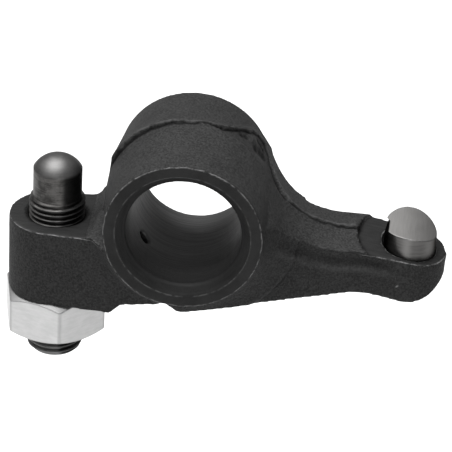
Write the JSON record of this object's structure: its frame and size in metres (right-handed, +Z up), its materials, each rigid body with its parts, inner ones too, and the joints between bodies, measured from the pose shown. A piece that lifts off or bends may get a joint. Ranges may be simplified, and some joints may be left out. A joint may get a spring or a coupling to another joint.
{
  "type": "rocker arm",
  "caption": "Forged engine rocker arm with a plain shaft bore, a ball-ended adjusting screw held by a lock nut, and a hard crowned contact pad.",
  "frame": {"origin": "on the axis of the shaft bore, half way along the bore", "axes": "+X along the arm from the adjusting screw to the contact pad, +Y along the shaft bore, +Z up along the adjusting screw towards its ball end"},
  "size_m": [0.0781, 0.0276, 0.0478],
  "materials": {
    "forging": "black phosphated forging, fine matt grain, milled faces the same black",
    "hard_insert": "ground and lapped crown",
    "screw_steel": "dark hardened steel, satin",
    "nut_zinc": "bright zinc plate, satin"
  },
  "bodies": {
    "arm": {"rocker_arm": "forging", "contact_pad": "hard_insert"},
    "screw": {"adjusting_screw": "screw_steel"},
    "nut": {"lock_nut": "nut_zinc"}
  },
  "joints": [
    {"name": "screw_travel", "type": "slide", "parent": "arm", "child": "screw", "axis": [0, 0, 1], "range_m": [-0.003, 0.003]},
    {"name": "lock_nut_turn", "type": "hinge", "parent": "arm", "child": "nut", "pos_m": [-0.0234, 0, -0.0192], "axis": [0, 0, 1], "range_deg": [-180, 180]}
  ]
}
